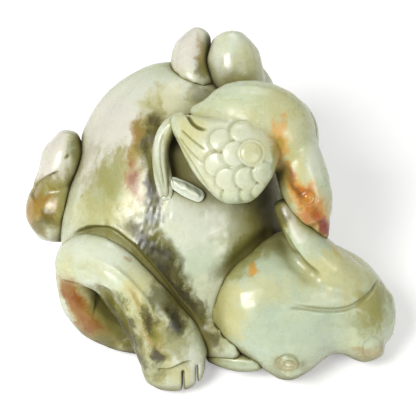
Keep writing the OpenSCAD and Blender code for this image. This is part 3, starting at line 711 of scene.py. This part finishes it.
# bird: body, neck, head and near wing, with round scales and long feathers on the wing. Its nephrite is pale
# yellow green, running through orange to dark red at the beak
birdPiece = {
    "nodes": ["bird_body", "bird_neck", "bird_head", "bird_beak", "bird_near_wing"], "slot": "jade_celadon",
    "grain": 0.184, "evenRounds": 42, "handSeed": 7,
    "body": ("celadon", "straw"), "clouds": ("milk", 0.5),
    "topCrease": [(0.3, 0.98), (0.5, 0.98), (0.7, 0.95), (0.88, 0.85)],
    "topMelt": {"within": 3.9, "over": 3, "fade": 6, "rounds": 80},
    "neckCrease": [(0.12, 0.98), (0.4, 0.9), (0.7, 0.8), (1.0, 0.78)],
    "neckMelt": {"within": 5.6, "over": 4, "rounds": 110},
    # each scale is a centre and a radius, from the front one back
    "scales": [((0.736, 0.559), 2.8), ((0.84, 0.34), 2.2), ((0.685, 0.278), 2.35), ((0.583, 0.55), 2.6),
               ((0.51, 0.268), 2.3), ((0.422, 0.432), 2.5), ((0.648, 0.8), 2.45), ((0.466, 0.704), 2.45),
               ((0.82, 0.13), 1.8), ((0.718, 0.096), 1.85), ((0.554, 0.08), 1.95)],
    "domeHeight": 0.26, "domeLeast": 0.3, "rimDepth": 0.3, "rimWidth": 0.6, "scaleEdge": 0.4,
    "overlapWay": (0.9, -0.3), "overlapReach": 0.6,
    "innerRing": {"at": (0.736, 0.559), "radii": (2.2, 2.2), "width": 0.25, "depth": 0.18},
    "tipNotch": {"line": [(0.16, 1.02), (0.21, 0.9), (0.28, 0.84), (0.36, 0.83)],
                 "width": 0.32, "depth": 0.9, "fade": (0.02, 0.35)},
    # each long feather is a depth and a line
    "longFeathers": [(0.4, [(0.031, 0.744), (0.19, 0.42), (0.346, 0.1)]),
                     (0.35, [(0.07, 0.83), (0.18, 0.7), (0.31, 0.57)]),
                     (0.3, [(0.06, 0.74), (0.17, 0.56), (0.3, 0.4)])],
    "featherCut": {"shift": (0.5, 0.25), "width": 0.2, "fade": (0.1, 0.2)},
    "eyeRing": {"at": (0.63, 0.31), "radii": (1.6, 1.5), "width": 0.2, "depth": 0.18},
    "pupilRing": {"at": (0.63, 0.31), "radii": (0.8, 0.75), "width": 0.16, "depth": 0.12},
    "stains": {
        ("bird_neck", "bird_head", "bird_beak"): [
            ("straw", 0.4, 0.55, 3.4, 7, 20, 0.8), ("milk", 0.74, 0.6, 2, 5, 15, 0.7),
            ("honey", 0.22, 0.8, 1.8, 3.4, -10, 0.8), ("honey", 0.26, 0.62, 1.5, 5, 15, 0.85),
            ("coral", 0.44, 0.42, 1.1, 4, 24, 1.0), ("coral", 0.56, 0.33, 2.2, 2.4, 0, 0.85),
            ("coral", 0.7, 0.2, 2.8, 2.4, 30, 0.75), ("russet", 0.42, 0.45, 0.6, 4, 24, 0.8),
            ("russet", 0.76, 0.16, 1, 1.8, 20, 0.7), ("rust", 0.86, 0.09, 1.3, 2.2, 20, 0.95),
        ],
        ("bird_near_wing",): [
            ("milk", 0.5, 0.5, 8, 8, 0, 0.6), ("straw", 0.74, 0.56, 3, 2.4, 0, 0.6),
            ("straw", 0.2, 0.85, 3, 3, 0, 0.7), ("olive", 0.95, 0.5, 1.2, 5, 0, 0.7),
        ],
    },
}

birdPiece["material"] = jadeMaterial("polishedNephriteBird", birdPiece)
piece = roughOut("stoneBird", birdPiece)
handWorked(piece, birdPiece["handSeed"])
wing = ["bird_near_wing"]
neck = ["bird_neck", "bird_head", "bird_beak"]
spots = planeSpots(piece)
topMelt, neckMelt = birdPiece["topMelt"], birdPiece["neckMelt"]
away, share, side = awayFrom(lineOn(wing, birdPiece["topCrease"]), spots)
onTop = eased((topMelt["within"] - away) / topMelt["over"]) * eased(share * topMelt["fade"]) * facing(piece)
melt(piece, onTop, topMelt["rounds"])
away, share, side = awayFrom(lineOn(neck, birdPiece["neckCrease"]), spots)
melt(piece, eased((neckMelt["within"] - away) / neckMelt["over"]), neckMelt["rounds"])
spots = planeSpots(piece)
depth = np.zeros(len(spots))
free = np.ones(len(spots))  # 1 where no scale in front covers the spot
for centre, radius in birdPiece["scales"]:
    centre = onForm(wing, centre)
    share = ovalReach(spots, centre, (radius, radius))
    outward = (share - 1) * radius
    inside = eased(0.5 - outward / birdPiece["scaleEdge"])
    towardTip = (spots - centre) @ birdPiece["overlapWay"] / radius
    tipward = eased(0.5 - towardTip * birdPiece["overlapReach"])  # the free edge is on the tip's side
    raised = birdPiece["domeLeast"] + (1 - birdPiece["domeLeast"]) * tipward
    dome = np.sqrt(np.clip(1 - share ** 2, 0, 1)) * birdPiece["domeHeight"] * raised
    rim = np.exp(-(np.maximum(outward, 0) / birdPiece["rimWidth"]) ** 2) * birdPiece["rimDepth"] * tipward
    depth += free * ((1 - inside) * rim - inside * dome)
    free *= 1 - inside
depth += ringDepth(spots, wing, **birdPiece["innerRing"])
depth += grooveDepth(spots, wing, **birdPiece["tipNotch"])
for deep, line in birdPiece["longFeathers"]:
    depth += grooveDepth(spots, wing, line, depth=deep, **birdPiece["featherCut"])
for ring in ("eyeRing", "pupilRing"):
    depth += ringDepth(spots, neck, **birdPiece[ring])
carve(piece, depth)
stand(piece, birdPiece)

# the bird's far wing: an olive green edge behind the neck
farWingPiece = {"nodes": ["bird_far_wing"], "slot": "jade_olive", "grain": 0.2, "evenRounds": 40,
                "body": ("celadon", "milk"), "clouds": ("straw", 0.5),
                "stains": {("bird_far_wing",): [("olive", 0.5, 0.5, 4, 6, 0, 0.5)]}}

farWingPiece["material"] = jadeMaterial("polishedNephriteFarWing", farWingPiece)
piece = roughOut("farWing", farWingPiece)
stand(piece, farWingPiece)

# the bird's tail band: a curved ribbon with a sunk middle, with lighter painted shade in its hollows than the
# other pieces
tailBandPiece = {
    "nodes": ["bird_tail"], "slot": "jade_celadon", "grain": 0.15, "evenRounds": 30,
    "body": ("celadon", "milk"), "clouds": ("straw", 0.5),
    "sunk": 0.9, "sunkReach": 0.7, "chipHeight": 0.02, "chipSize": 2.6, "chipSeed": 21,
    "middle": {"line": [(0.36, 0.06), (0.29, 0.3), (0.25, 0.55), (0.34, 0.76), (0.6, 0.88)],
               "width": 0.8, "depth": 0.5, "fade": (0.2, 0.3)},
    "hollow": {"side": "hollowSide", "floor": "hollowFloor",
               "sideShare": 0.7, "floorShare": 0.8, "cutShadeShare": 0.3},
    "stains": {("bird_tail",): [("milk", 0.2, 0.7, 2, 5, 0, 0.6), ("olive", 0.5, 0.75, 1.6, 4, 0, 0.6)]},
}


def sunkBelow(spots, part):
    # how far a form's lower end is sunk towards the belly, with its face left a little chipped
    low, high = formBox(part["nodes"])
    up = ((spots - low[:2]) / (high - low)[:2])[:, 1]
    chips = part["chipHeight"] * roughness(spots, part["chipSize"], part["chipSeed"])
    return part["sunk"] * eased(1 - up / part["sunkReach"]) + chips


tailBandPiece["material"] = jadeMaterial("polishedNephriteBirdTailBand", tailBandPiece)
piece = roughOut("birdTailBand", tailBandPiece)
spots = planeSpots(piece)
depth = sunkBelow(spots, tailBandPiece)
depth += grooveDepth(spots, tailBandPiece["nodes"], **tailBandPiece["middle"])
carve(piece, depth)
stand(piece, tailBandPiece)

# the bird's foot: chipped, and whiter than the rest, as thin chipped edges of the stone are
footPiece = {
    "nodes": ["bird_foot"], "slot": "jade_celadon", "grain": 0.15, "evenRounds": 20,
    "body": ("celadon", "milk"), "clouds": ("straw", 0.5),
    "sunk": 0.8, "sunkReach": 2, "chipHeight": 0.06, "chipSize": 2.6, "chipSeed": 21,
    # lighter painted shade in its hollows than elsewhere
    "hollow": {"side": "sage", "floor": "hollowSide", "sideShare": 0.5, "floorShare": 0.6, "cutShadeShare": 0.1},
    "stains": {("bird_foot",): [("milk", 0.5, 0.5, 6, 6, 0, 1.0)]},
}

footPiece["material"] = jadeMaterial("polishedNephriteBirdFoot", footPiece)
piece = roughOut("birdFoot", footPiece)
carve(piece, sunkBelow(planeSpots(piece), footPiece))
stand(piece, footPiece)

# floor: matte white paper, which gives a soft even white. Past the lamps' reach it is lifted more, for rays
# that see it straight, mirrored or through something clear
floorPiece = {"halfWidth": 1.2, "colour": "#F6F6F4", "fibreColour": "#FAFAF8", "fibreSize": 0.006,
              "lift": 0.35, "farLift": 1.0, "liftFrom": 0.12, "liftTo": 0.5}

floorMesh = bpy.data.meshes.new("floor")
w = floorPiece["halfWidth"]
floorMesh.from_pydata([(-w, -w, 0), (w, -w, 0), (w, w, 0), (-w, w, 0)], [], [(0, 1, 2, 3)])
floor = bpy.data.objects.new("floor", floorMesh)
bpy.context.scene.collection.objects.link(floor)
paper = bpy.data.materials.new("matteWhitePaper")
paper.use_nodes = True
tree = paper.node_tree
tree.nodes.clear()
# paper's fibres are far too fine to show, so the pattern is drawn 6 mm wide
fibre = addNode(tree, "ShaderNodeTexNoise", inputs={"Scale": 2 * w / floorPiece["fibreSize"], "Detail": 3})
paperColour = addNode(tree, "ShaderNodeMix", {"data_type": "RGBA"}, {
    0: fibre.outputs["Fac"], 6: linear(floorPiece["colour"]), 7: linear(floorPiece["fibreColour"])})
sheet = addNode(tree, "ShaderNodeBsdfPrincipled", inputs={
    "Base Color": paperColour.outputs[2], "Roughness": 0.9})
away = addNode(tree, "ShaderNodeVectorMath", {"operation": "LENGTH"}, {
    0: addNode(tree, "ShaderNodeTexCoord").outputs["Object"]}).outputs["Value"]
away = addNode(tree, "ShaderNodeMapRange", {"interpolation_type": "SMOOTHSTEP"}, {
    "Value": away, 1: floorPiece["liftFrom"], 2: floorPiece["liftTo"],
    3: floorPiece["lift"], 4: floorPiece["farLift"]}).outputs[0]
rays = addNode(tree, "ShaderNodeLightPath").outputs
seen = addNode(tree, "ShaderNodeMath", {"operation": "MAXIMUM"}, {
    0: rays["Is Camera Ray"], 1: rays["Is Glossy Ray"]}).outputs[0]
seen = addNode(tree, "ShaderNodeMath", {"operation": "MAXIMUM"}, {
    0: seen, 1: rays["Is Transmission Ray"]}).outputs[0]
lift = addNode(tree, "ShaderNodeMath", {"operation": "MULTIPLY"}, {0: seen, 1: away})
lifted = addNode(tree, "ShaderNodeEmission", inputs={"Color": linear("#FFFFFF"), "Strength": lift.outputs[0]})
both = addNode(tree, "ShaderNodeAddShader", inputs={0: sheet.outputs[0], 1: lifted.outputs[0]})
addNode(tree, "ShaderNodeOutputMaterial", inputs={"Surface": both.outputs[0]})
floorMesh.materials.append(paper)

# studio: three round soft lamps in a pale room
lamps = {
    "keyLight": {"place": (-0.26, -0.26, 0.46), "width": 0.26, "power": 2.5},
    "fillLight": {"place": (0.34, -0.34, 0.4), "width": 0.16, "power": 0.55},
    "backLight": {"place": (0.05, 0.45, 0.45), "width": 0.3, "power": 0.6},
}
room = {"colour": "#FFFFFF", "strength": 0.24}

for name, lamp in lamps.items():
    light = bpy.data.lights.new(name, "AREA")
    light.shape = "DISK"
    light.size = lamp["width"]
    light.energy = lamp["power"]
    lampObject = bpy.data.objects.new(name, light)
    lampObject.location = lamp["place"]
    lampObject.rotation_euler = (aim - Vector(lamp["place"])).to_track_quat("-Z", "Y").to_euler()
    bpy.context.scene.collection.objects.link(lampObject)

world = bpy.data.worlds.new("studio")
bpy.context.scene.world = world
world.use_nodes = True
tree = world.node_tree
tree.nodes.clear()
glow = addNode(tree, "ShaderNodeBackground", inputs={
    "Color": linear(room["colour"]), "Strength": room["strength"]})
addNode(tree, "ShaderNodeOutputWorld", inputs={"Surface": glow.outputs[0]})
bpy.context.scene.view_settings.view_transform = "Standard"
print("floor, lamps and room set")
